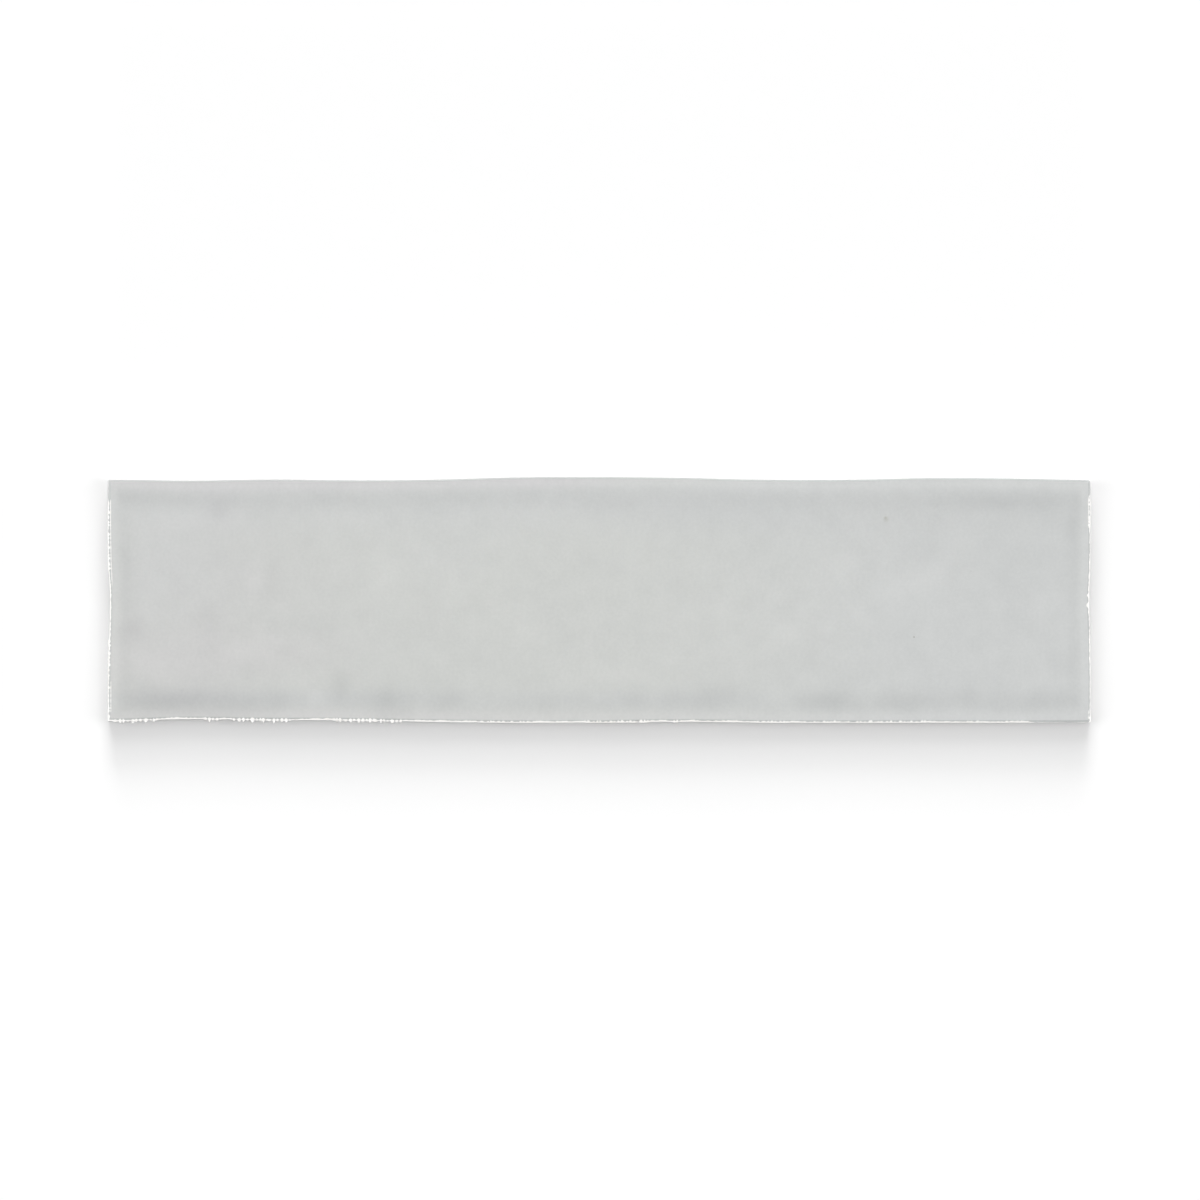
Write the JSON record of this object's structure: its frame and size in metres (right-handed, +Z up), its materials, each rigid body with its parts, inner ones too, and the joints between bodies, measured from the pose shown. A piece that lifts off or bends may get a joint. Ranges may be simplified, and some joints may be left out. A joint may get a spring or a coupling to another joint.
{
  "type": "glazed ceramic wall tile",
  "caption": "Long brick-format ceramic wall tile with a gently wavy, gloss-glazed pale grey face, softened wandering edges and a keyed back for adhesive.",
  "frame": {"origin": "on the plane of the keyed back, under the middle of the tile", "axes": "+X along the tile's length, +Y across its width towards the far edge of the picture, +Z up out of the glazed face"},
  "size_m": [0.3, 0.075, 0.0081],
  "materials": {
    "glaze": "gloss"
  },
  "bodies": {
    "root": {"tile": "glaze"}
  },
  "joints": []
}
